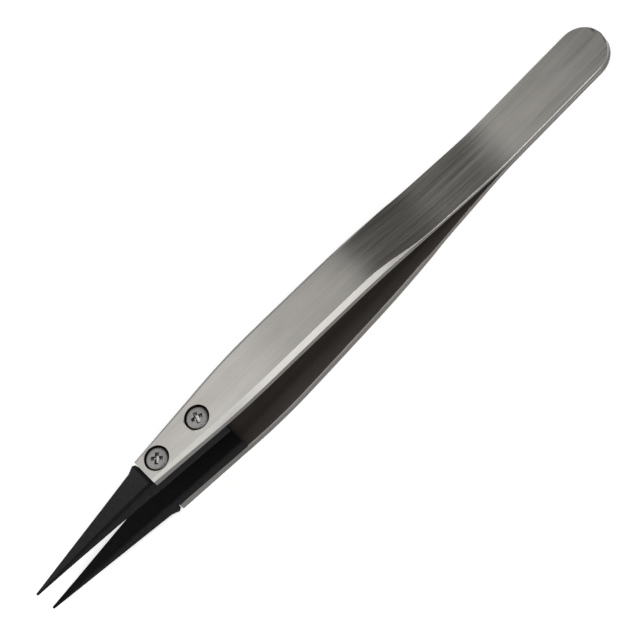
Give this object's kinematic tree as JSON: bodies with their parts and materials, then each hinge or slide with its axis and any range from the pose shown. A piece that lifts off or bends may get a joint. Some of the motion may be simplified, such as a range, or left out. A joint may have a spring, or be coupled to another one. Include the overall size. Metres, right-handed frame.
{
  "type": "precision tweezers",
  "caption": "Precision tweezers: sprung steel arms welded flat at a rounded heel, with screwed-on tapered plastic tips that close when squeezed.",
  "frame": {"origin": "centre of the footprint, level with the outer face of the lower arm's grip", "axes": "+X from the points of the tips towards the rounded heel, +Y across the arms, +Z from the lower arm to the upper arm, square to the middle plane the arms mirror each other in"},
  "size_m": [0.13, 0.0092, 0.0139],
  "materials": {
    "arm_steel": "brushed",
    "tip_plastic": "fine matt",
    "screw_steel": "satin",
    "insert_brass": "satin"
  },
  "bodies": {
    "heel": {"upper_arm_heel": "arm_steel", "lower_arm_heel": "arm_steel"},
    "upper_jaw": {"upper_arm": "arm_steel", "upper_tip": "tip_plastic", "upper_front_screw": "screw_steel", "upper_rear_screw": "screw_steel", "upper_front_insert": "insert_brass", "upper_rear_insert": "insert_brass"},
    "lower_jaw": {"lower_arm": "arm_steel", "lower_tip": "tip_plastic", "lower_front_screw": "screw_steel", "lower_rear_screw": "screw_steel", "lower_front_insert": "insert_brass", "lower_rear_insert": "insert_brass"}
  },
  "joints": [
    {"name": "upper_arm_flex", "type": "hinge", "parent": "heel", "child": "upper_jaw", "pos_m": [0.03712, 0, 0.00713], "axis": [0, -1, 0], "range_deg": [0, 1.85], "stiffness_Nm_per_rad": 5},
    {"name": "lower_arm_flex", "type": "hinge", "parent": "heel", "child": "lower_jaw", "pos_m": [0.03712, 0, 0.00677], "axis": [0, 1, 0], "range_deg": [0, 1.85], "stiffness_Nm_per_rad": 5}
  ]
}
